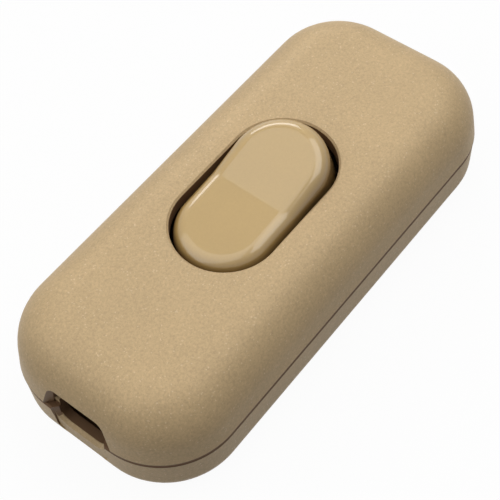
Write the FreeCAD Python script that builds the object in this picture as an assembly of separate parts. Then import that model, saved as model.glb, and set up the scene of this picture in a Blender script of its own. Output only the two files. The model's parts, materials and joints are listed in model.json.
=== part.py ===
import FreeCAD, Part
import math
import os

# Inline cord switch: a housing of two shells with a rocker in its top. Inside are a spring plunger, a
# tilting contact, screw terminals, and a cord clamp at each end.
# Millimetres. +X runs along the switch, +Z is up, and the origin is on the underside at the middle of
# the plan. The near end is at -X. The rocker is modelled with its near half pressed.

V = FreeCAD.Vector

# Housing outline
body_length = 68.0
body_width = 30.0
body_height = 15.0
corner_radius = 10.1
seam_height = 6.7
cover_draft = 7.8
base_draft = 1.2
top_round = 6.25
base_round = 2.7
base_inset = 0.08
seam_bevel = 0.22
wall = 2.0
roof = 2.0
floor = 1.6

# Joint between the shells
tongue_width = 0.85
tongue_height = 1.2
shell_clearance = 0.12

# Cord entries
notch_depth = 2.35
entry_rise = 3.8
entry_top_width = 7.4
entry_seam_width = 8.8
entry_top_round = 0.8
notch_width = 7.0
notch_round = 1.6
entry_flare = 0.45
lip_recess = 0.3
lip_recess_height = 1.7

# Rocker
opening_length = 24.9
opening_width = 13.9
opening_bevel = 0.25
rocker_side_gap = 0.5
rocker_end_gap = 0.35
rocker_swing = 8.45
crease_proud = 0.7
crease_round = 5.0
dish_angle = 5.0
rocker_skirt = 2.2
rocker_round = 2.0
rocker_wall = 1.3
rocker_roof = 1.5
trunnion_radius = 1.5
trunnion_reach = 2.2
running_clearance = 0.05

# Bearings of the rocker
bearing_gap = 0.1
bearing_width = 6.0
bearing_thickness = 1.9
stop_thickness = 1.0
stop_width = 3.6
stop_gap = 0.12

# Plunger and its spring
plunger_radius = 1.6
plunger_shoulder = 2.4
plunger_head = 1.2
plunger_tip_radius = 0.8
plunger_tip_gap = 0.1
plunger_reach = 5.2
guide_wall = 0.9
guide_reach = 1.8
spring_radius = 0.95
spring_wire = 0.3
spring_pitch = 1.3
spring_clearance = 0.15

# Tilting contact
lever_rise = 2.0
lever_tilt = 6.0
lever_thickness = 0.8
lever_width = 4.6
lever_corner = 1.15
lever_waist = 3.6
lever_waist_length = 2.2
knife_groove = 0.3
knife_gap = 0.05
knife_half_angle = 28.0
groove_half_angle = 55.0
ear_height = 1.2
ear_gap = 0.15
ear_width = 0.6
contact_x = 6.5
contact_radius = 1.2
contact_thickness = 0.45
contact_dome = 4.0
contact_gap = 0.04

# Terminals
strip_thickness = 0.8
strip_width = 2.4
arm_corner = 0.65
strip_gap = 0.6
terminal_length = 6.0
terminal_width = 5.0
terminal_height = 5.4
wire_radius = 1.2
wire_height = 2.3
terminal_edge = 0.25
seat_rib = 0.9
seat_length = 4.0
seat_height = 2.2
seat_clearance = 0.15
barrier_width = 1.0
barrier_height = 4.6

# Cord clamps
clamp_spacing = 12.0
clamp_length = 16.4
clamp_width = 4.4
clamp_thickness = 1.4
clamp_headroom = 1.4
clamp_corner = 1.4
grip_rib = 0.35
cradle_step = 0.45
cradle_rib = 1.0
cradle_spacing = 2.4

# Screws
case_screw_gap = 1.0
case_column_radius = 3.0
case_boss_radius = 2.4
case_head_radius = 2.1
case_head_height = 1.5
case_recess_depth = 2.4
case_screw_end = 3.2
case_shank_radius = 1.1
clamp_head_radius = 1.9
clamp_head_height = 1.2
clamp_shank_radius = 1.05
clamp_screw_foot = 1.8
clamp_boss_radius = 2.3
terminal_head_radius = 1.8
terminal_head_height = 1.2
terminal_shank_radius = 1.2
terminal_screw_lift = 0.5
terminal_screw_end = 0.6
pilot_spare = 1.0
screw_clearance = 0.02
passing_clearance = 0.25
recess_clearance = 0.15
slot_width = 0.6
slot_depth = 0.6
screw_edge = 0.25

# How far cutting shapes run past what they cut, and how closely edges are matched to a place
overrun = 3.0
tolerance = 1e-4

# Places worked out from the sizes above
half_length = body_length / 2
half_width = body_width / 2
ceiling = body_height - roof
entry_top_height = seam_height + entry_rise
cord_lip_height = seam_height - notch_depth
cradle_height = cord_lip_height - cradle_step
strip_top = floor + strip_thickness
terminal_top = floor + terminal_height

# The mechanism stands on the floor: strip, lever, plunger, and then the rocker's pivot
lever_height = strip_top + lever_rise
lever_top = lever_height + lever_thickness - knife_groove
lever_length = 2 * (contact_x + contact_radius)
pivot_height = lever_top + plunger_tip_gap + plunger_tip_radius + plunger_reach
crease_rise = body_height + crease_proud - pivot_height
rocker_width = opening_width - 2 * rocker_side_gap
rocker_end = (opening_length / 2 - rocker_end_gap) / math.cos(math.radians(rocker_swing))
lean = math.tan(math.radians(rocker_swing))

# Across the switch: bearing posts beside the opening, strips inside them, case screws outside the strips
post_inner = opening_width / 2 + bearing_gap
post_outer = post_inner + bearing_thickness
strip_y = post_inner - strip_gap - strip_width / 2
case_screw_y = strip_y + strip_width / 2 + seat_clearance + case_column_radius

# Along the switch: terminal and clamp lie between the opening and the end wall with equal gaps
row_gap = (half_length - wall - opening_length / 2 - terminal_length - 2 * clamp_boss_radius) / 3
terminal_x = opening_length / 2 + row_gap + terminal_length / 2
clamp_x = half_length - wall - row_gap - clamp_boss_radius
case_screw_x = terminal_x - terminal_length / 2 - case_screw_gap - case_column_radius
clamp_height = ceiling - clamp_headroom - clamp_head_height - clamp_thickness
bevel_inside_round = 2 - math.sqrt(2)


def box(x0, x1, y0, y1, z0, z1):
    return Part.makeBox(x1 - x0, y1 - y0, z1 - z0, V(x0, y0, z0))


def column(x, y, z0, z1, radius):
    return Part.makeCylinder(radius, z1 - z0, V(x, y, z0))


def plan_wire(length, width, radius, z):
    """A rectangle with round corners at height z. A radius of half the width gives round ends."""
    a, b = length / 2 - radius, width / 2 - radius
    edges = []
    for i, (cx, cy) in enumerate([(a, b), (-a, b), (-a, -b), (a, -b)]):
        start = math.radians(90 * i)
        points = [V(cx + radius * math.cos(start + turn), cy + radius * math.sin(start + turn), z)
                  for turn in (0, math.pi / 4, math.pi / 2)]
        if edges and (edges[-1].Vertexes[-1].Point - points[0]).Length > tolerance:
            edges.append(Part.makeLine(edges[-1].Vertexes[-1].Point, points[0]))
        edges.append(Part.Arc(*points).toShape())
    first, last = edges[0].Vertexes[0].Point, edges[-1].Vertexes[-1].Point
    if (first - last).Length > tolerance:
        edges.append(Part.makeLine(last, first))
    return Part.Wire(edges)


def plan_prism(length, width, radius, z0, z1):
    return Part.Face(plan_wire(length, width, radius, z0)).extrude(V(0, 0, z1 - z0))


def drafted_block(low_inset, high_inset, z0, z1):
    """The housing's plan with straight leaning walls: flat sides and a piece of cone at each corner."""
    x, y = half_length - corner_radius, half_width - corner_radius
    low, high = corner_radius - low_inset, corner_radius - high_inset
    pieces = [Part.makeCone(low, high, z1 - z0, V(i * x, j * y, z0)) for i in (-1, 1) for j in (-1, 1)]
    pieces.append(xz_prism([(-x - low, z0), (x + low, z0), (x + high, z1), (-x - high, z1)], -y, y))
    across = xz_prism([(-y - low, z0), (y + low, z0), (y + high, z1), (-y - high, z1)], -x, x)
    across.rotate(V(0, 0, 0), V(0, 0, 1), 90)
    return across.fuse(pieces).removeSplitter()


def level_edges(shape, z):
    """The edges that lie in the plane at height z."""
    return [e for e in shape.Edges if all(abs(v.Point.z - z) < tolerance for v in e.Vertexes)
            and abs(e.CenterOfMass.z - z) < tolerance]


def xz_prism(points, y0, y1):
    """A straight-sided outline in the XZ plane, run along Y."""
    corners = [V(x, y0, z) for x, z in points]
    return Part.Face(Part.makePolygon(corners + corners[:1])).extrude(V(0, y1 - y0, 0))


def both_ends(shape):
    """The shape at the far end and its copy turned half round, at the near end."""
    turned = shape.copy()
    turned.rotate(V(0, 0, 0), V(0, 0, 1), 180)
    return [shape, turned]


def cover_outside():
    """Leaning walls, a round top edge, and a small bevel at the seam."""
    slope = math.tan(math.radians(cover_draft))
    foot = seam_height + seam_bevel
    block = drafted_block(seam_bevel * slope, (body_height - seam_height) * slope, foot, body_height)
    block = block.makeFillet(top_round, level_edges(block, body_height))
    return block.fuse(drafted_block(seam_bevel, seam_bevel * slope, seam_height, foot))


def cover_hollow():
    """The space in the cover. Its bevelled edge keeps the wall's thickness under the round top edge."""
    slope = math.tan(math.radians(cover_draft))
    block = drafted_block(wall, wall + (ceiling - seam_height) * slope, seam_height, ceiling)
    return block.makeChamfer((top_round - wall) * bevel_inside_round, level_edges(block, ceiling))


def base_outside():
    """Steep walls, a round bottom edge, and a small bevel at the seam."""
    slope = math.tan(math.radians(base_draft))
    head = seam_height - seam_bevel
    block = drafted_block(base_inset + seam_height * slope, base_inset + seam_bevel * slope, 0, head)
    block = block.makeFillet(base_round, level_edges(block, 0))
    bevel = drafted_block(base_inset + seam_bevel * slope, base_inset + seam_bevel, head, seam_height)
    return block.fuse(bevel)


def base_hollow():
    slope = math.tan(math.radians(base_draft))
    block = drafted_block(wall + (seam_height - floor) * slope, wall, floor, seam_height)
    return block.makeChamfer(base_round * bevel_inside_round, level_edges(block, floor))


def flared_notch(outline, throat):
    """A notch through the far end wall whose mouth widens outwards from the throat, at 45 degrees."""
    through = Part.Face(outline(0, half_length - wall - overrun)).extrude(V(wall + 2 * overrun, 0, 0))
    mouth = Part.makeLoft([outline(0, throat), outline(overrun, throat + overrun)], True, True)
    return through.fuse(mouth)


def cover_entry():
    """What the far cord entry takes out of the cover: a notch that widens to the seam."""
    def outline(grow, x):
        top, seam = entry_top_width / 2 + grow, entry_seam_width / 2 + grow
        high, low = entry_top_height + grow, seam_height - overrun
        spread = seam + (seam - top) * (seam_height - low) / (high - seam_height)
        side = V(0, top - spread, high - low).normalize()
        turn = entry_top_round + grow
        reach = turn * math.tan((math.pi / 2 + math.atan2(side.y, side.z)) / 2)
        a = V(x, spread, low)
        b = V(x, top, high) - side * reach
        c = V(x, top - reach, high)
        centre = V(x, c.y, high - turn)
        middle = centre + (V(x, top, high) - centre).normalize() * turn
        half = [Part.makeLine(a, b), Part.Arc(b, middle, c).toShape(), Part.makeLine(c, V(x, 0, high))]
        other = [e.mirror(V(0, 0, 0), V(0, 1, 0)) for e in half]
        return Part.Wire(Part.__sortEdges__(half + other + [Part.makeLine(a, V(x, -spread, low))]))
    lean_in = (entry_top_height - seam_height) * math.tan(math.radians(cover_draft))
    return flared_notch(outline, half_length - lean_in - entry_flare)


def base_entry():
    """What the far cord entry takes out of the base: a round-cornered notch in a shallow recess."""
    def outline(grow, x):
        half, low = notch_width / 2 + grow, cord_lip_height - grow
        high = seam_height + overrun
        turn = notch_round + grow
        slant = turn * math.sin(math.pi / 4)
        a, b = V(x, half, high), V(x, half, low + turn)
        c = V(x, half - turn, low)
        middle = V(x, half - turn + slant, low + turn - slant)
        right = [Part.makeLine(a, b), Part.Arc(b, middle, c).toShape(), Part.makeLine(c, V(x, 0, low))]
        left = [e.mirror(V(0, 0, 0), V(0, 1, 0)) for e in right]
        return Part.Wire(Part.__sortEdges__(right + left + [Part.makeLine(a, V(x, -half, high))]))
    notch = flared_notch(outline, half_length - base_inset - lip_recess - entry_flare)
    edge = notch_width / 2 + entry_flare
    recess = box(half_length - base_inset - lip_recess, half_length + overrun, -edge, edge,
                 lip_recess_height, seam_height + overrun)
    low_corners = [e for e in recess.Edges if abs(e.CenterOfMass.z - lip_recess_height) < tolerance
                   and abs(abs(e.CenterOfMass.y) - edge) < tolerance]
    return notch.fuse(recess.makeFillet(notch_round, low_corners))


def make_top_cover():
    outside = cover_outside()
    shell = outside.cut(cover_hollow())
    rebate = wall - tongue_width - shell_clearance
    groove_top = seam_height + tongue_height + shell_clearance
    shell = shell.cut(plan_prism(body_length - 2 * rebate, body_width - 2 * rebate, corner_radius - rebate,
                                 seam_height - overrun, groove_top))
    bosses = both_ends(column(case_screw_x, -case_screw_y, seam_height, ceiling + roof / 2,
                              case_boss_radius))
    ribs = both_ends(box(-bearing_width / 2, bearing_width / 2, post_inner, post_outer,
                         pivot_height + bearing_gap, ceiling + roof / 2))
    inside = Part.makeCompound(bosses + ribs).common(outside)
    shell = shell.fuse(inside.Solids)
    opening = plan_prism(opening_length, opening_width, opening_width / 2,
                         ceiling - overrun, body_height + overrun)
    pilots = both_ends(column(case_screw_x, -case_screw_y, 0, body_height - case_screw_end,
                              case_shank_radius + screw_clearance))
    shell = shell.cut([opening, bearing_bore()] + pilots + both_ends(cover_entry())).removeSplitter()
    rim = [e for e in level_edges(shell, body_height)
           if max(abs(e.BoundBox.XMin), abs(e.BoundBox.XMax)) < opening_length / 2 + tolerance]
    return shell.makeChamfer(opening_bevel, rim)


def make_base_tray():
    outside = base_outside()
    tray = outside.cut(base_hollow())
    tongue = plan_prism(body_length - 2 * (wall - tongue_width), body_width - 2 * (wall - tongue_width),
                        corner_radius - wall + tongue_width,
                        seam_height - overrun, seam_height + tongue_height)
    tongue = tongue.cut(plan_prism(body_length - 2 * wall, body_width - 2 * wall, corner_radius - wall,
                                   0, seam_height + overrun))
    half = bearing_width / 2
    posts = both_ends(box(-half, half, post_inner, post_outer, floor / 2, pivot_height - bearing_gap))
    pillars = both_ends(column(case_screw_x, -case_screw_y, floor / 2, seam_height, case_column_radius))
    pillars = Part.makeCompound(pillars).common(outside).Solids
    low_end = rocker_end + rocker_skirt * lean
    swing = math.radians(rocker_swing)
    stop_top = pivot_height - low_end * math.sin(swing) - rocker_skirt * math.cos(swing) - stop_gap
    stop_x = low_end - rocker_wall
    stops = both_ends(box(stop_x, stop_x + stop_thickness, -stop_width / 2, stop_width / 2,
                          floor / 2, stop_top))
    barrier = both_ends(box(terminal_x - terminal_length / 2, terminal_x + terminal_length / 2,
                            -barrier_width / 2, barrier_width / 2, floor / 2, floor + barrier_height))
    tray = tray.fuse([tongue] + posts + pillars + stops + barrier + terminal_seats() + clamp_bosses())
    cuts = [bearing_bore()]
    for recess in both_ends(column(case_screw_x, -case_screw_y, -overrun, case_recess_depth,
                                   case_head_radius + recess_clearance)):
        cuts.append(recess)
    for passing in both_ends(column(case_screw_x, -case_screw_y, 0, seam_height + overrun,
                                    case_shank_radius + passing_clearance)):
        cuts.append(passing)
    for side in (-1, 1):
        cuts += both_ends(column(clamp_x, side * clamp_spacing / 2,
                                 floor + clamp_screw_foot - pilot_spare, clamp_height + overrun,
                                 clamp_shank_radius + screw_clearance))
    tray = tray.cut(cuts + both_ends(base_entry()))
    return tray.removeSplitter()


def bearing_bore():
    """The rocker's bearing: a bore along Y through the posts of the base and the ribs of the cover."""
    reach = post_outer + running_clearance
    return Part.makeCylinder(trunnion_radius + running_clearance, 2 * reach,
                             V(0, -reach, pivot_height), V(0, 1, 0))


def terminal_seats():
    """Low ribs beside each terminal block."""
    ribs = []
    reach = terminal_width / 2 + seat_clearance
    for side in (-1, 1):
        for inner, outer in ((-reach - seat_rib, -reach), (reach, reach + seat_rib)):
            ribs += both_ends(box(terminal_x - seat_length / 2, terminal_x + seat_length / 2,
                                  side * strip_y + inner, side * strip_y + outer,
                                  floor / 2, floor + seat_height))
    return ribs


def clamp_bosses():
    """The screw bosses of both clamps, and the cradle ribs that the cord lies on between them."""
    pieces = []
    for side in (-1, 1):
        pieces += both_ends(column(clamp_x, side * clamp_spacing / 2, floor / 2, clamp_height,
                                   clamp_boss_radius))
        middle = clamp_x + side * cradle_spacing / 2
        pieces += both_ends(box(middle - cradle_rib / 2, middle + cradle_rib / 2,
                                -clamp_spacing / 2, clamp_spacing / 2, floor / 2, cradle_height))
    return pieces


def above_rocker(crease):
    """The space over the rocker's top: two slopes that meet in a rounded valley at the crease."""
    dish = math.radians(dish_angle)
    centre = crease + crease_round / math.cos(dish)
    turn_x, turn_z = crease_round * math.sin(dish), centre - crease_round * math.cos(dish)
    end_z = crease + body_length * math.tan(dish)
    valley = Part.Arc(V(-turn_x, -body_width, turn_z), V(0, -body_width, centre - crease_round),
                      V(turn_x, -body_width, turn_z)).toShape()
    high = crease + body_length
    corners = [V(x, -body_width, z) for x, z in (
        (turn_x, turn_z), (body_length, end_z), (body_length, high),
        (-body_length, high), (-body_length, end_z), (-turn_x, turn_z))]
    outline = Part.Wire([valley] + Part.makePolygon(corners).Edges)
    return Part.Face(outline).extrude(V(0, 2 * body_width, 0))


def rocker_form(shrink, roof_drop, low, rounding):
    """The rocker level on its pivot: round ends that lean in by the swing, and a valley along the top."""
    end, width = opening_length / 2 - rocker_end_gap - shrink, rocker_width - 2 * shrink
    block = plan_prism(2 * end, width, width / 2, pivot_height + low - overrun, body_height + 2 * overrun)
    block.rotate(V(0, 0, pivot_height), V(0, 1, 0), -rocker_swing)
    above = above_rocker(pivot_height + crease_rise - roof_drop)
    half = block.cut(above)
    if rounding:
        rim = [e for e in half.Edges if e.BoundBox.XLength > tolerance
               and all(above.distToShape(v)[0] < tolerance for v in e.Vertexes)]
        half = half.makeFillet(rounding, rim)
    half = half.common(box(0, body_length, -body_width, body_width, pivot_height + low, 2 * body_height))
    return half.fuse(half.mirror(V(0, 0, 0), V(1, 0, 0))).removeSplitter()


def press_near(shape):
    """Turns a piece from the level rocker to its place with the near half pressed."""
    shape.rotate(V(0, 0, pivot_height), V(0, 1, 0), -rocker_swing)
    return shape


def make_rocker():
    cap = rocker_form(0, 0, -rocker_skirt, rocker_round)
    hollow = rocker_form(rocker_wall, rocker_roof, -rocker_skirt - overrun, 0)
    tube = column(0, 0, pivot_height - guide_reach, pivot_height + crease_rise - rocker_roof / 2,
                  plunger_radius + guide_wall)
    cap = cap.cut(hollow).fuse(tube)
    inner = rocker_width / 2 - rocker_wall
    for side in (-1, 1):
        cap = cap.fuse(Part.makeCylinder(trunnion_radius, trunnion_reach + rocker_wall,
                                         V(0, side * inner, pivot_height), V(0, side, 0)))
    bore = column(0, 0, pivot_height - guide_reach - overrun, pivot_height + crease_rise - rocker_roof,
                  plunger_radius + running_clearance)
    return press_near(cap.cut(bore).removeSplitter())


def make_spring_plunger():
    """A turned pin with a round nose, drilled from above for its spring."""
    top, shoulder = pivot_height + plunger_head, pivot_height - plunger_shoulder
    centre = pivot_height - plunger_reach
    slant = plunger_tip_radius * math.sin(math.pi / 4)
    outline = [Part.makeLine(V(0, 0, top), V(plunger_radius, 0, top)),
               Part.makeLine(V(plunger_radius, 0, top), V(plunger_radius, 0, shoulder)),
               Part.makeLine(V(plunger_radius, 0, shoulder), V(plunger_tip_radius, 0, centre)),
               Part.Arc(V(plunger_tip_radius, 0, centre), V(slant, 0, centre - slant),
                        V(0, 0, centre - plunger_tip_radius)).toShape(),
               Part.makeLine(V(0, 0, centre - plunger_tip_radius), V(0, 0, top))]
    pin = Part.Face(Part.Wire(outline)).revolve(V(0, 0, 0), V(0, 0, 1), 360)
    well = spring_radius + spring_wire / 2 + spring_clearance
    return press_near(pin.cut(column(0, 0, spring_seat(), top + overrun, well)))


def spring_seat():
    """Height of the bottom of the plunger's spring well."""
    return pivot_height - plunger_shoulder


def make_plunger_spring():
    low = spring_seat() + spring_wire / 2 + running_clearance
    high = pivot_height + crease_rise - rocker_roof - spring_wire / 2 - running_clearance
    helix = Part.makeHelix(spring_pitch, high - low, spring_radius)
    helix.translate(V(0, 0, low))
    half = spring_wire / 2
    corners = [V(spring_radius + i * half, 0, low + j * half) for i, j in ((-1, 0), (0, -1), (1, 0), (0, 1))]
    ring = Part.makePolygon(corners + corners[:1])
    return press_near(Part.Wire(helix).makePipeShell([ring], True, True))


def tilt_lever(shape):
    """Turns a piece of the level lever to its place with the contact closed."""
    shape.rotate(V(0, 0, lever_height), V(0, 1, 0), lever_tilt)
    return shape


def make_contact_bridge():
    """A brass rocking lever with a waist between the ears and a groove over the knife edge."""
    low, high = lever_height - knife_groove, lever_top
    waist = lever_waist_length / 2
    bar = box(-lever_length / 2, lever_length / 2, -lever_width / 2, lever_width / 2, low, high)
    ends = [e for e in bar.Edges if abs(abs(e.CenterOfMass.x) - lever_length / 2) < tolerance
            and abs(e.CenterOfMass.z - (low + high) / 2) < tolerance]
    bar = bar.makeFillet(lever_corner, ends)
    for side in (-1, 1):
        y0, y1 = sorted((side * lever_waist / 2, side * lever_width))
        bar = bar.cut(box(-waist, waist, y0, y1, low - overrun, high + overrun))
    mouth = knife_groove * math.tan(math.radians(groove_half_angle))
    return tilt_lever(bar.cut(xz_prism([(-mouth, low), (0, lever_height), (mouth, low)],
                                       -lever_width, lever_width)))


def make_moving_contact_tip():
    face = lever_height - knife_groove - contact_thickness
    disc = column(contact_x, 0, face, lever_height - knife_groove, contact_radius)
    return tilt_lever(disc)


def closed_contact():
    """Where the middle of the moving tip's face is with the contact closed: x and z."""
    tilt = math.radians(lever_tilt)
    drop = knife_groove + contact_thickness
    x = contact_x * math.cos(tilt) - drop * math.sin(tilt)
    z = lever_height - contact_x * math.sin(tilt) - drop * math.cos(tilt)
    return x, z


def make_fixed_contact_tip():
    """A domed contact on the fixed terminal, just under the moving tip."""
    x, z = closed_contact()
    centre = z - (contact_dome + contact_gap) / math.cos(math.radians(lever_tilt))
    dome = Part.makeSphere(contact_dome, V(x, 0, centre))
    return column(x, 0, strip_top, strip_top + contact_dome, contact_radius).common(dome)


def terminal_block(x, y):
    """A pillar terminal: a wire hole along X and a screw hole from the top."""
    block = box(x - terminal_length / 2, x + terminal_length / 2,
                y - terminal_width / 2, y + terminal_width / 2, floor, terminal_top)
    upright = [e for e in block.Edges if abs(e.CenterOfMass.z - (floor + terminal_top) / 2) < tolerance]
    return block.makeChamfer(terminal_edge, upright)


def terminal_holes(x, y):
    wire = Part.makeCylinder(wire_radius, terminal_length + 2 * overrun,
                             V(x - terminal_length / 2 - overrun, y, floor + wire_height), V(1, 0, 0))
    screw = column(x, y, floor + wire_height, terminal_top + overrun,
                   terminal_shank_radius + screw_clearance)
    return [wire, screw]


def make_pivot_terminal():
    """Live terminal of the near end, its strip, and the upstand whose knife edge carries the lever."""
    y = -strip_y
    half = strip_thickness / 2
    ear_inner = lever_waist / 2 + ear_gap
    ear_outer = ear_inner + ear_width
    strip = box(-terminal_x, ear_outer, y - strip_width / 2, y + strip_width / 2, floor, strip_top)
    arm = box(-half, ear_outer, y, ear_outer, floor, strip_top)
    knife_base = lever_height - knife_gap - half / math.tan(math.radians(knife_half_angle))
    upstand = box(-half, half, -ear_outer, ear_outer, floor, knife_base)
    knife = xz_prism([(-half, knife_base), (half, knife_base), (0, lever_height - knife_gap)],
                     -lever_waist / 2, lever_waist / 2)
    ears = both_ends(box(-half, half, ear_inner, ear_outer, floor, lever_height + ear_height))
    body = terminal_block(-terminal_x, y).fuse([strip, arm, upstand, knife] + ears)
    return body.cut(terminal_holes(-terminal_x, y)).removeSplitter()


def make_fixed_contact_terminal():
    """Live terminal of the far end, with the flat arm that carries the fixed contact."""
    y = -strip_y
    x = closed_contact()[0]
    arm_half = contact_radius + ear_gap
    strip = box(x - arm_half, terminal_x, y - strip_width / 2, y + strip_width / 2, floor, strip_top)
    arm = box(x - arm_half, x + arm_half, y, arm_half, floor, strip_top)
    tip_corners = [e for e in arm.Edges if abs(e.CenterOfMass.y - arm_half) < tolerance
                   and abs(e.CenterOfMass.z - (floor + strip_top) / 2) < tolerance]
    body = terminal_block(terminal_x, y).fuse([strip, arm.makeFillet(arm_corner, tip_corners)])
    return body.cut(terminal_holes(terminal_x, y)).removeSplitter()


def make_neutral_link():
    """Both neutral terminals, joined by a strip that runs past the switch."""
    y = strip_y
    strip = box(-terminal_x, terminal_x, y - strip_width / 2, y + strip_width / 2, floor, strip_top)
    body = terminal_block(terminal_x, y).fuse([terminal_block(-terminal_x, y), strip])
    return body.cut(terminal_holes(terminal_x, y) + terminal_holes(-terminal_x, y)).removeSplitter()


def screw_up(x, y, seat, head_radius, head_height, shank_radius, shank_length):
    """A slotted screw with its head above the seat and its shank down."""
    head = column(x, y, seat, seat + head_height, head_radius)
    head = head.makeChamfer(screw_edge, level_edges(head, seat + head_height))
    slot = box(x - head_radius, x + head_radius, y - slot_width / 2, y + slot_width / 2,
               seat + head_height - slot_depth, seat + head_height + overrun)
    return head.cut(slot).fuse(column(x, y, seat - shank_length, seat, shank_radius)).removeSplitter()


def make_terminal_screw(x, y):
    seat = terminal_top + terminal_screw_lift
    length = seat - floor - wire_height - terminal_screw_end
    return screw_up(x, y, seat, terminal_head_radius, terminal_head_height, terminal_shank_radius, length)


def make_clamp_screw(x, y):
    seat = clamp_height + clamp_thickness
    return screw_up(x, y, seat, clamp_head_radius, clamp_head_height, clamp_shank_radius,
                    seat - floor - clamp_screw_foot)


def make_case_screw(x, y):
    """A screw with its head in the underside's recess and its shank up in the cover's boss."""
    length = body_height - case_screw_end - pilot_spare - case_recess_depth
    screw = screw_up(x, -y, -case_recess_depth, case_head_radius, case_head_height,
                     case_shank_radius, length)
    screw.rotate(V(0, 0, 0), V(1, 0, 0), 180)
    return screw


def make_cord_clamp(x):
    """A bar across the cord with two screw holes and grip ribs under its middle."""
    half, reach = clamp_width / 2, clamp_length / 2
    top = clamp_height + clamp_thickness
    bar = box(x - half, x + half, -reach, reach, clamp_height, top)
    corners = [e for e in bar.Edges if abs(e.CenterOfMass.z - (clamp_height + top) / 2) < tolerance]
    bar = bar.makeFillet(clamp_corner, corners)
    span = clamp_spacing / 2 - clamp_boss_radius - 2 * seat_clearance
    for place in (-1, 1):
        middle = x + place * cradle_spacing / 2
        bar = bar.fuse(xz_prism([(middle - grip_rib, clamp_height), (middle + grip_rib, clamp_height),
                                 (middle, clamp_height - grip_rib)], -span, span))
    holes = [column(x, side * clamp_spacing / 2, clamp_height - overrun, top + overrun,
                    clamp_shank_radius + passing_clearance) for side in (-1, 1)]
    return bar.cut(holes)


def build_parts():
    parts = {
        "top_cover": make_top_cover(),
        "base_tray": make_base_tray(),
        "rocker": make_rocker(),
        "spring_plunger": make_spring_plunger(),
        "plunger_spring": make_plunger_spring(),
        "contact_bridge": make_contact_bridge(),
        "moving_contact_tip": make_moving_contact_tip(),
        "fixed_contact_tip": make_fixed_contact_tip(),
        "pivot_terminal": make_pivot_terminal(),
        "fixed_contact_terminal": make_fixed_contact_terminal(),
        "neutral_link": make_neutral_link(),
        "case_screw_near": make_case_screw(-case_screw_x, case_screw_y),
        "case_screw_far": make_case_screw(case_screw_x, -case_screw_y),
    }
    for end, way in (("near", -1), ("far", 1)):
        parts["cord_clamp_" + end] = make_cord_clamp(way * clamp_x)
        for hand, side in (("right", -1), ("left", 1)):
            screw = make_clamp_screw(way * clamp_x, side * clamp_spacing / 2)
            parts["clamp_screw_%s_%s" % (end, hand)] = screw
        for lead, side in (("live", -1), ("neutral", 1)):
            screw = make_terminal_screw(way * terminal_x, side * strip_y)
            parts["terminal_screw_%s_%s" % (end, lead)] = screw
    return parts


os.makedirs("parts", exist_ok=True)
for name, shape in build_parts().items():
    shape.exportStep("parts/" + name + ".step")
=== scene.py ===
import json
import math
import bpy
from mathutils import Matrix, Vector


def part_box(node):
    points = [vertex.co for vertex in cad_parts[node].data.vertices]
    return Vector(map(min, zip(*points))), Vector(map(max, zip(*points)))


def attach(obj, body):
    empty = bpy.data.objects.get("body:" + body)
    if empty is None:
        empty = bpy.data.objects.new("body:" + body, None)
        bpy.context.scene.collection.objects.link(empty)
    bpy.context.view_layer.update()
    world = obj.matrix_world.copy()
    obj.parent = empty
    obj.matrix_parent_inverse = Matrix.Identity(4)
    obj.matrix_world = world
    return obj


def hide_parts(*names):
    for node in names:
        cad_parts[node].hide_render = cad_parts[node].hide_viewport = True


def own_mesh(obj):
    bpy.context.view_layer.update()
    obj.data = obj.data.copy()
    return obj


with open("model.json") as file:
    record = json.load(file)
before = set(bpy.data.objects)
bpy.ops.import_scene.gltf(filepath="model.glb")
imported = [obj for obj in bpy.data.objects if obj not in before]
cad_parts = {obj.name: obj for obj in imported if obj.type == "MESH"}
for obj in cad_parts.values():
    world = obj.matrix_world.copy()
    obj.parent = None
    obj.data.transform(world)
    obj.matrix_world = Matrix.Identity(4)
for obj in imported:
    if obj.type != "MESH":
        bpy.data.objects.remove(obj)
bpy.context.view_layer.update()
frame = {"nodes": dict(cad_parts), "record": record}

# Inline cord switch, near end at -X, standing on z = 0. Metres.
mm = 0.001
nodes = frame["nodes"]

# Finishes, as linear colours
shell_gold = (0.530, 0.385, 0.212)
# Painted glint on a few flakes
painted_glint_pale = (0.90, 0.76, 0.52, 1.0)
rocker_gold = (0.507, 0.333, 0.110)
# Painted shade on the rocker's steep sides
side_shade_gold = (0.27, 0.165, 0.055, 1.0)
# Painted shade inside the housing and along the seam
painted_shade_brown = (0.165, 0.092, 0.046, 1.0)
brass_yellow = (0.72, 0.52, 0.22)
silver_white = (0.78, 0.77, 0.74)
zinc_grey = (0.58, 0.59, 0.61)
spring_grey = (0.50, 0.50, 0.50)
natural_nylon = (0.74, 0.71, 0.62)
clamp_black = (0.030, 0.027, 0.024)
white = (1.0, 1.0, 1.0, 1.0)

# Satin gold: the grain of the spray, slow clouds in it, and a few flakes painted pale as painted glints
spray_grain = 0.35 * mm
spray_cloud = 9 * mm
spray_contrast = 0.34
spray_height = 0.010 * mm
flake_size = 0.15 * mm
dull_flakes = 0.985
painted_glint_share = 0.25
tray_shade = 0.97

# Gloss gold: the waves of a moulded face, and painted shade that darkens the steep sides
gloss_cloud = 7 * mm
gloss_speck = 0.22 * mm
gloss_contrast = 0.06
wave_size = 2.2 * mm
wave_height = 0.006 * mm
side_shade_below = 0.95
side_shade_rate = 1.7

# Worked metal and moulded plastic
metal_stain = 2.5 * mm
metal_dark = 0.82
metal_light = 1.08
metal_height = 0.004 * mm
plastic_grain = 0.35 * mm
plastic_cloud = 4 * mm
plastic_contrast = 0.10
plastic_height = 0.008 * mm

# Housing sizes that the paint and the floor follow
half_length = 34.0 * mm
half_width = 15.0 * mm
corner_radius = 10.1 * mm
seam_height = 6.7 * mm
foot_inset = 2.9 * mm
foot_height = 1.0 * mm
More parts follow.
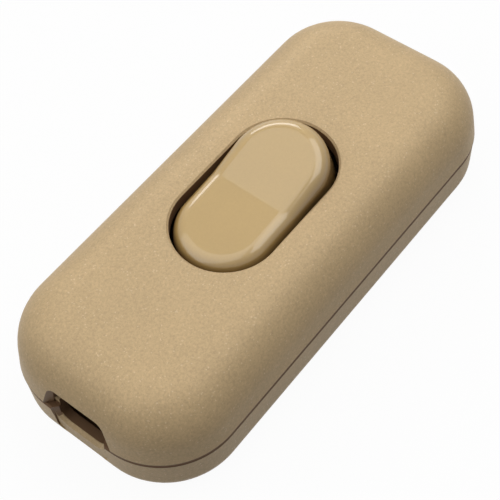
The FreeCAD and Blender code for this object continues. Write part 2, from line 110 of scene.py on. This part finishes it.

# Painted shade, dark brown inside the housing and along the seam: a face is a wall if its normal rises
# by less than wall_rise, and a ceiling if by less than ceiling_rise
wall_rise = 0.4
ceiling_rise = -0.5
inward_by = 1.0 * mm
cheek_share = 0.9
shade_reach = 0.9 * mm
tray_rim = seam_height + 0.8 * mm
line_below = 0.30 * mm
line_above = 0.42 * mm

# Screws: heads, slots and shanks as the CAD has them. The core is the share of the shank's radius
# that lies inside the thread
screw_shapes = {
    "case_screw": dict(head_height=1.5 * mm, shank_radius=1.1 * mm, pitch=0.90 * mm, core=0.74),
    "clamp_screw": dict(head_height=1.2 * mm, shank_radius=1.05 * mm, pitch=0.85 * mm, core=0.74),
    "terminal_screw": dict(head_height=1.2 * mm, shank_radius=1.2 * mm, pitch=0.45 * mm, core=0.80),
}
slot_width = 0.6 * mm
slot_depth = 0.6 * mm
head_edge = 0.25 * mm
head_sides = 48
tip_edge = 0.35 * mm
shank_sides = 24
edge_segments = 3
top_rise = 0.9
shank_overlap = 0.2 * mm
thread_root = 0.06 * mm
thread_share = 0.7
thread_steps = 24
thread_tip_gap = 0.3 * mm
thread_head_gap = 0.05 * mm
screw_smooth = math.radians(35)

# Spring under the rocker, at the CAD's place and size, with the rocker's lean at rest
pivot_height = 11.0 * mm
spring_low = 8.8 * mm
spring_high = 14.0 * mm
spring_turns = 4
spring_steps = 32
spring_radius = 0.95 * mm
spring_wire = 0.3 * mm
wire_sides = 12
wire_smooth = math.radians(60)
rocker_lean = math.radians(8.45)

# Camera
view_azimuth = -47.39
view_elevation = 55.86
view_roll = -5.38
view_distance = 154.86 * mm
view_target = Vector((-3.19, -1.29, 7.5)) * mm
focal_pixels = 1246.34
frame_pixels = 500
sensor_width = 36.0
near_clip = 10 * mm

# Faint light from all round, and the floor
tent_light = 0.03
floor_grey = (0.36, 0.36, 0.365, 1.0)
floor_white = (0.85, 0.85, 0.85, 1.0)
floor_glow = 0.95
floor_size = 4.0
floor_drop = 0.05 * mm

# Lamps: azimuth and elevation in degrees, distance, size and power
lamps = {
    "main_panel": (229, 62, 0.55, (0.60, 0.80), 2.00),
    "back_window": (140, 34, 0.55, (0.34, 0.15), 0.8),
    "underside_panel": (0, -90, 0.45, (0.50, 0.50), 1.2),
    "far_right_panel": (66, 58, 0.55, (0.50, 0.36), 1.35),
}


class Level:
    """A number that varies over a surface; arithmetic on it adds the nodes that work it out."""

    def __init__(self, shading, socket):
        self.shading = shading
        self.socket = socket

    def join(self, operation, first, second):
        node = self.shading.node("ShaderNodeMath", {"operation": operation}, {0: first, 1: second})
        return Level(self.shading, node.outputs[0])

    def __add__(self, other):
        return self.join("ADD", self, other)

    def __sub__(self, other):
        return self.join("SUBTRACT", self, other)

    def __rsub__(self, other):
        return self.join("SUBTRACT", other, self)

    def __mul__(self, other):
        return self.join("MULTIPLY", self, other)

    def __gt__(self, other):
        return self.join("GREATER_THAN", self, other)

    def __lt__(self, other):
        return self.join("LESS_THAN", self, other)

    def __abs__(self):
        return self.join("ABSOLUTE", self, 0.0)

    def largest(self, other):
        return self.join("MAXIMUM", self, other)

    def smallest(self, other):
        return self.join("MINIMUM", self, other)

    def root(self):
        return self.join("SQRT", self, 0.0)

    __radd__ = __add__
    __rmul__ = __mul__


class Shading:
    """The nodes of a material or of the world."""

    def __init__(self, tree):
        self.tree = tree

    def node(self, kind, settings=None, sockets=None):
        made = self.tree.nodes.new(kind)
        for name, value in (settings or {}).items():
            setattr(made, name, value)
        for name, value in (sockets or {}).items():
            self.feed(made.inputs[name], value)
        return made

    def feed(self, socket, value):
        if isinstance(value, Level):
            value = value.socket
        if isinstance(value, bpy.types.NodeSocket):
            self.tree.links.new(value, socket)
        else:
            socket.default_value = value

    def rays(self):
        """1 for the camera's own rays, and 1 for all that see the background, by gloss or glass too."""
        path = self.node("ShaderNodeLightPath")
        camera, glossy, through = [Level(self, path.outputs["Is %s Ray" % kind])
                                   for kind in ("Camera", "Glossy", "Transmission")]
        return camera, camera.largest(glossy).largest(through)


class Paint(Shading):
    """A material that starts as one principled shader, and the nodes that feed it."""

    def __init__(self, name, constants=None):
        self.material = bpy.data.materials.new(name)
        self.material.use_nodes = True
        super().__init__(self.material.node_tree)
        self.shader = self.tree.nodes["Principled BSDF"]
        for socket, value in (constants or {}).items():
            self.shader.inputs[socket].default_value = value
        coordinates = self.node("ShaderNodeTexCoord")
        self.place = coordinates.outputs["Object"]
        self.facing = coordinates.outputs["Normal"]

    def noise(self, size, detail):
        """Soft noise with spots about as large as the size, from 0 to 1."""
        made = self.node("ShaderNodeTexNoise", None,
                         {"Vector": self.place, "Scale": 1 / size, "Detail": detail})
        return Level(self, made.outputs[0])

    def specks(self, size):
        """Two random numbers in each small cell."""
        cells = self.node("ShaderNodeTexVoronoi", None, {"Vector": self.place, "Scale": 1 / size})
        split = self.node("ShaderNodeSeparateColor", None, {0: cells.outputs["Color"]})
        return Level(self, split.outputs[0]), Level(self, split.outputs[1])

    def parts(self, vector):
        split = self.node("ShaderNodeSeparateXYZ", None, {0: vector})
        return [Level(self, split.outputs[i]) for i in range(3)]

    def mix(self, share, first, second):
        made = self.node("ShaderNodeMix", {"data_type": "RGBA"}, {0: share, 6: first, 7: second})
        return made.outputs[2]

    def blend(self, share, first, second):
        """A shader between two shaders."""
        made = self.node("ShaderNodeMixShader", None, {0: share, 1: first, 2: second})
        return made.outputs[0]

    def bump(self, height, distance):
        made = self.node("ShaderNodeBump", None, {"Height": height, "Distance": distance,
                                                  "Strength": 1.0})
        self.feed(self.shader.inputs["Normal"], made.outputs[0])

    def finish(self, levels):
        for socket, value in levels.items():
            self.feed(self.shader.inputs[socket], value)
        return self.material


def shade(colour, factor):
    return tuple(min(1.0, c * factor) for c in colour) + (1.0,)


def inside_outline(x, y, depth):
    """1 where a place lies at least this deep inside the housing's outline, seen from above."""
    beyond_x = abs(x) - (half_length - corner_radius)
    beyond_y = abs(y) - (half_width - corner_radius)
    out_x = beyond_x.largest(0.0)
    out_y = beyond_y.largest(0.0)
    outside_core = (out_x * out_x + out_y * out_y).root() + beyond_x.largest(beyond_y).smallest(0.0)
    return outside_core < corner_radius - depth


def painted_shade_inside(paint):
    """1 where shade is painted: inward walls, mouth cheeks, ceilings, the floor inside and the parting
    line.
    """
    x, y, z = paint.parts(paint.place)
    across, along, rise = paint.parts(paint.facing)
    sideways = y * along
    steep = rise < wall_rise
    inward = (x * across + sideways < -inward_by) * steep
    mouth_cheek = (sideways < -inward_by) * steep * cheek_share
    ceiling = (rise < ceiling_rise) * (z > foot_height)
    floor_inside = (rise > wall_rise) * inside_outline(x, y, shade_reach) * (z < tray_rim)
    parting = (z > seam_height - line_below) * (z < seam_height + line_above)
    return inward.largest(mouth_cheek).largest(ceiling).largest(floor_inside).largest(parting)


def satin_gold(name, colour):
    """Satin gold paint: fine flake in a slightly uneven coat, a few flakes painted pale as painted
    glints, and painted shade inside.
    """
    paint = Paint(name, {"Metallic": 0.10, "Specular IOR Level": 0.22})
    tone, glint = paint.specks(flake_size)
    cloud = paint.noise(spray_cloud, 3.0)
    grain = paint.noise(spray_grain, 3.0)
    share = 0.20 * tone + 0.55 * grain + 0.25 * cloud
    bright = glint > dull_flakes
    base = paint.mix(share, shade(colour, 1 - spray_contrast), shade(colour, 1 + spray_contrast))
    # Painted glint: a few flakes painted pale
    base = paint.mix(bright * painted_glint_share, base, painted_glint_pale)
    # Painted shade: dark brown on the inner faces and along the seam
    base = paint.mix(painted_shade_inside(paint), base, painted_shade_brown)
    paint.bump(0.6 * grain + 0.4 * tone, spray_height)
    return paint.finish({"Base Color": base, "Roughness": 0.47 - bright * 0.14 + 0.06 * cloud})


def gloss_gold(name, colour):
    """Smooth gold paint with a clear gloss and faint waves, and painted shade that darkens the steep
    sides.
    """
    paint = Paint(name, {"Coat Weight": 1.0, "Coat Roughness": 0.07})
    cloud = paint.noise(gloss_cloud, 2.0)
    tone = paint.specks(gloss_speck)[0]
    share = 0.75 * cloud + 0.25 * tone
    base = paint.mix(share, shade(colour, 1 - gloss_contrast), shade(colour, 1 + gloss_contrast))
    rise = paint.parts(paint.facing)[2]
    # Painted shade: the steeper a face, the darker its colour
    side_shade = ((side_shade_below - rise) * side_shade_rate).largest(0.0).smallest(1.0)
    base = paint.mix(side_shade, base, side_shade_gold)
    paint.bump(paint.noise(wave_size, 1.0), wave_height)
    return paint.finish({"Base Color": base, "Roughness": 0.36 + 0.05 * cloud})


def worked_metal(name, colour, roughness, grain_size):
    """Stamped or plated metal with a fine grain and faint stains."""
    paint = Paint(name, {"Metallic": 1.0})
    grain = paint.noise(grain_size, 3.0)
    stain = paint.noise(metal_stain, 2.0)
    base = paint.mix(stain, shade(colour, metal_dark), shade(colour, metal_light))
    paint.bump(grain, metal_height)
    return paint.finish({"Base Color": base, "Roughness": roughness - 0.08 + 0.16 * grain})


def moulded(name, colour, roughness):
    """Plain moulded plastic with a fine eroded texture."""
    paint = Paint(name)
    grain = paint.noise(plastic_grain, 3.0)
    cloud = paint.noise(plastic_cloud, 2.0)
    base = paint.mix(cloud, shade(colour, 1 - plastic_contrast), shade(colour, 1 + plastic_contrast))
    paint.bump(grain, plastic_height)
    return paint.finish({"Base Color": base, "Roughness": roughness - 0.05 + 0.10 * grain})


def dress_nodes():
    """Gives each piece of the CAD the finish of its slot, and returns the finishes."""
    finishes = {
        "shell_gold": satin_gold("satin_gold_cover", shell_gold),
        "base_gold": satin_gold("satin_gold_base", shade(shell_gold, tray_shade)[:3]),
        "rocker_gold": gloss_gold("gloss_gold_rocker", rocker_gold),
        "plunger_plastic": moulded("natural_nylon", natural_nylon, 0.42),
        "spring_steel": worked_metal("drawn_spring_wire", spring_grey, 0.32, 0.12 * mm),
        "contact_brass": worked_metal("stamped_brass", brass_yellow, 0.34, 0.20 * mm),
        "contact_silver": worked_metal("silver_contact", silver_white, 0.28, 0.15 * mm),
        "screw_steel": worked_metal("zinc_plate", zinc_grey, 0.36, 0.18 * mm),
        "clamp_plastic": moulded("black_clamp_plastic", clamp_black, 0.50),
    }
    for part in frame["record"]["subparts"]:
        node = nodes[part["node"]]
        node.data.materials.clear()
        node.data.materials.append(finishes[part["material_slot"]])
    return finishes


def select_only(thing):
    bpy.ops.object.select_all(action="DESELECT")
    thing.select_set(True)
    bpy.context.view_layer.objects.active = thing


def pick_faces(thing, wanted):
    """In edit mode, selects only the faces that the test wants."""
    bpy.ops.mesh.select_all(action="DESELECT")
    bpy.ops.object.mode_set(mode="OBJECT")
    for face in thing.data.polygons:
        face.select = wanted(face)
    bpy.ops.object.mode_set(mode="EDIT")
    bpy.ops.mesh.select_mode(type="FACE")


def turned_bar(radius, low, high, edge, sides):
    """A round bar along Z with a bevelled top edge."""
    bpy.ops.object.select_all(action="DESELECT")
    bpy.ops.mesh.primitive_cylinder_add(vertices=sides, radius=radius, depth=high - low,
                                        location=(0, 0, (low + high) / 2))
    bar = bpy.context.object
    bpy.ops.object.transform_apply(location=True, rotation=False, scale=False)
    bpy.ops.object.mode_set(mode="EDIT")
    pick_faces(bar, lambda face: face.normal.z > top_rise)
    bpy.ops.mesh.bevel(offset=edge, segments=edge_segments, affect="EDGES")
    bpy.ops.object.mode_set(mode="OBJECT")
    return bar


def cut_slot(head, radius, top):
    """A screwdriver slot right across the head."""
    bpy.ops.object.select_all(action="DESELECT")
    bpy.ops.mesh.primitive_cube_add(size=1, location=(0, 0, top))
    blade = bpy.context.object
    blade.scale = (radius * 3, slot_width, slot_depth * 2)
    bpy.ops.object.transform_apply(location=True, rotation=False, scale=True)
    select_only(head)
    cut = head.modifiers.new("slot", "BOOLEAN")
    cut.operation = "DIFFERENCE"
    cut.solver = "EXACT"
    cut.object = blade
    bpy.ops.object.modifier_apply(modifier=cut.name)
    bpy.data.objects.remove(blade)


def wind(profile, pitch, turns, steps, sides):
    """Winds the outline of a mesh round Z into one closed coil."""
    winding = profile.modifiers.new("winding", "SCREW")
    winding.axis = "Z"
    winding.angle = math.tau
    winding.screw_offset = pitch
    winding.iterations = turns
    winding.steps = winding.render_steps = steps
    winding.use_merge_vertices = False
    select_only(profile)
    bpy.ops.object.modifier_apply(modifier=winding.name)
    bpy.ops.object.mode_set(mode="EDIT")
    bpy.ops.mesh.select_all(action="SELECT")
    bpy.ops.mesh.fill_holes(sides=sides)
    bpy.ops.mesh.select_all(action="SELECT")
    bpy.ops.mesh.normals_make_consistent(inside=False)
    bpy.ops.object.mode_set(mode="OBJECT")


def wound_thread(core, crest, low, high, pitch):
    """One closed ridge wound round the shank from its tip to just under the head."""
    bpy.ops.object.select_all(action="DESELECT")
    bpy.ops.mesh.primitive_circle_add(vertices=3, radius=1, fill_type="NOTHING", location=(0, 0, 0))
    ridge = bpy.context.object
    root = core - thread_root
    width = thread_share * pitch
    corners = ((root, low), (root, low + width), (crest, low + width / 2))
    for vertex, (away, height) in zip(ridge.data.vertices, corners):
        vertex.co = (away, 0, height)
    turns = max(1, int((high - low - width) / pitch))
    wind(ridge, pitch, turns, thread_steps, len(corners))
    return ridge


def make_screw(name, reach, head_radius, head_height, shank_radius, pitch, core):
    """A slotted screw with its seat at z = 0, head up and threaded shank down."""
    head = turned_bar(head_radius, 0.0, head_height, head_edge, head_sides)
    cut_slot(head, head_radius, head_height)
    core_radius = shank_radius * core
    shank = turned_bar(core_radius, 0.0, reach + shank_overlap, tip_edge, shank_sides)
    select_only(shank)
    bpy.ops.object.mode_set(mode="EDIT")
    bpy.ops.mesh.select_all(action="SELECT")
    bpy.ops.transform.rotate(value=math.pi, orient_axis="X", center_override=(0, 0, 0))
    bpy.ops.transform.translate(value=(0, 0, shank_overlap))
    bpy.ops.object.mode_set(mode="OBJECT")
    ridge = wound_thread(core_radius, shank_radius, thread_tip_gap - reach, -thread_head_gap, pitch)
    select_only(head)
    shank.select_set(True)
    ridge.select_set(True)
    bpy.ops.object.join()
    head.name = name
    bpy.ops.object.shade_smooth_by_angle(angle=screw_smooth)
    return head


def fit_screws(finish):
    """A threaded screw in place of each plain one of the CAD. The case screws go in from below."""
    for kind, shape in screw_shapes.items():
        upside_down = kind == "case_screw"
        names = sorted(name for name in nodes if name.startswith(kind))
        low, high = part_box(names[0])
        reach = high[2] - low[2] - shape["head_height"]
        master = make_screw(kind, reach, (high[0] - low[0]) / 2, **shape)
        for name in names:
            low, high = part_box(name)
            screw = master.copy()
            screw.data = master.data.copy()
            bpy.context.scene.collection.objects.link(screw)
            screw.name = "threaded_" + name
            select_only(screw)
            seat = low[2] + shape["head_height"] if upside_down else high[2] - shape["head_height"]
            bpy.ops.object.mode_set(mode="EDIT")
            bpy.ops.mesh.select_all(action="SELECT")
            if upside_down:
                bpy.ops.transform.rotate(value=math.pi, orient_axis="X", center_override=(0, 0, 0))
            bpy.ops.transform.translate(value=((low[0] + high[0]) / 2, (low[1] + high[1]) / 2, seat))
            bpy.ops.object.mode_set(mode="OBJECT")
            screw.data.materials.clear()
            screw.data.materials.append(finish)
            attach(screw, "housing")
            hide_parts(name)
        bpy.data.objects.remove(master)


def coil_spring(finish):
    """Round wire in place of the CAD's square wire. It rides with the rocker."""
    bpy.ops.object.select_all(action="DESELECT")
    bpy.ops.mesh.primitive_circle_add(vertices=wire_sides, radius=spring_wire / 2, fill_type="NOTHING",
                                      location=(spring_radius, 0, spring_low - pivot_height),
                                      rotation=(math.pi / 2, 0, 0))
    spring = bpy.context.object
    spring.name = "round_wire_spring"
    bpy.ops.object.transform_apply(location=True, rotation=True, scale=False)
    wind(spring, (spring_high - spring_low) / spring_turns, spring_turns, spring_steps, wire_sides)
    spring.rotation_euler = (0, -rocker_lean, 0)
    spring.location = (0, 0, pivot_height)
    select_only(spring)
    bpy.ops.object.transform_apply(location=True, rotation=True, scale=False)
    bpy.ops.object.shade_smooth_by_angle(angle=wire_smooth)
    spring.data.materials.append(finish)
    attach(spring, "rocker")
    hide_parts("plunger_spring")
    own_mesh(spring)


def make_floor():
    """A pale floor that looks white and keeps a soft shadow.

    It is clear from below, so that the underside shows, and clear where the housing stands on it.
    """
    bpy.ops.object.select_all(action="DESELECT")
    bpy.ops.mesh.primitive_plane_add(size=floor_size, location=(0, 0, -floor_drop))
    floor = bpy.context.object
    floor.name = "floor"
    paint = Paint("pale_floor", {"Roughness": 0.9})
    camera, seen = paint.rays()
    paint.finish({"Base Color": paint.mix(seen, floor_grey, floor_white)})
    glow = paint.node("ShaderNodeEmission", None, {"Color": white, "Strength": 1.0})
    surface = paint.blend(floor_glow * seen, paint.shader.outputs[0], glow.outputs[0])
    x, y, _ = paint.parts(paint.place)
    below_foot = inside_outline(x, y, foot_inset)
    behind = Level(paint, paint.node("ShaderNodeNewGeometry").outputs["Backfacing"]) * camera
    clear = paint.node("ShaderNodeBsdfTransparent")
    surface = paint.blend(behind.largest(below_foot), surface, clear.outputs[0])
    paint.feed(paint.tree.nodes["Material Output"].inputs[0], surface)
    floor.data.materials.append(paint.material)


def make_world():
    """A faint light all round, and a white background for the camera, for gloss and through glass."""
    world = bpy.data.worlds.new("studio")
    bpy.context.scene.world = world
    world.use_nodes = True
    sky = Shading(world.node_tree)
    tent = sky.tree.nodes["Background"]
    sky.feed(tent.inputs[0], white)
    sky.feed(tent.inputs[1], tent_light)
    backdrop = sky.node("ShaderNodeBackground", None, {0: white, 1: 1.0})
    seen = sky.rays()[1]
    lit = sky.node("ShaderNodeMixShader", None, {0: seen, 1: tent.outputs[0], 2: backdrop.outputs[0]})
    sky.feed(sky.tree.nodes["World Output"].inputs[0], lit.outputs[0])


def direction(azimuth, elevation):
    """The way from the switch to a camera or lamp. Azimuth 0 is at -Y, elevation 90 above."""
    a, e = math.radians(azimuth), math.radians(elevation)
    return Vector((math.sin(a) * math.cos(e), -math.cos(a) * math.cos(e), math.sin(e)))


def softbox(name, azimuth, elevation, distance, size, power):
    """A square or oblong soft lamp that faces the switch, placed as the camera is."""
    lamp = bpy.data.lights.new(name, "AREA")
    lamp.shape = "RECTANGLE"
    lamp.size, lamp.size_y = size
    lamp.energy = power
    stand = bpy.data.objects.new(name, lamp)
    bpy.context.scene.collection.objects.link(stand)
    back = direction(azimuth, elevation)
    stand.location = back * distance
    stand.rotation_euler = (-back).to_track_quat("-Z", "Y").to_euler()
    stand.visible_camera = False


def make_camera():
    camera = bpy.data.cameras.new("camera")
    camera.sensor_width = sensor_width
    camera.lens = focal_pixels * sensor_width / frame_pixels
    camera.clip_start = near_clip
    stand = bpy.data.objects.new("camera", camera)
    bpy.context.scene.collection.objects.link(stand)
    back = direction(view_azimuth, view_elevation)
    right = Vector((0, 0, 1)).cross(back).normalized()
    up = back.cross(right)
    turn = math.radians(view_roll)
    across = right * math.cos(turn) + up * math.sin(turn)
    above = up * math.cos(turn) - right * math.sin(turn)
    place = Matrix((across, above, back)).transposed().to_4x4()
    place.translation = view_target + back * view_distance
    stand.matrix_world = place
    bpy.context.scene.camera = stand


finishes = dress_nodes()
fit_screws(finishes["screw_steel"])
coil_spring(finishes["spring_steel"])
make_floor()
make_world()
for name, settings in lamps.items():
    softbox(name, *settings)
make_camera()
bpy.context.scene.view_settings.view_transform = "Standard"
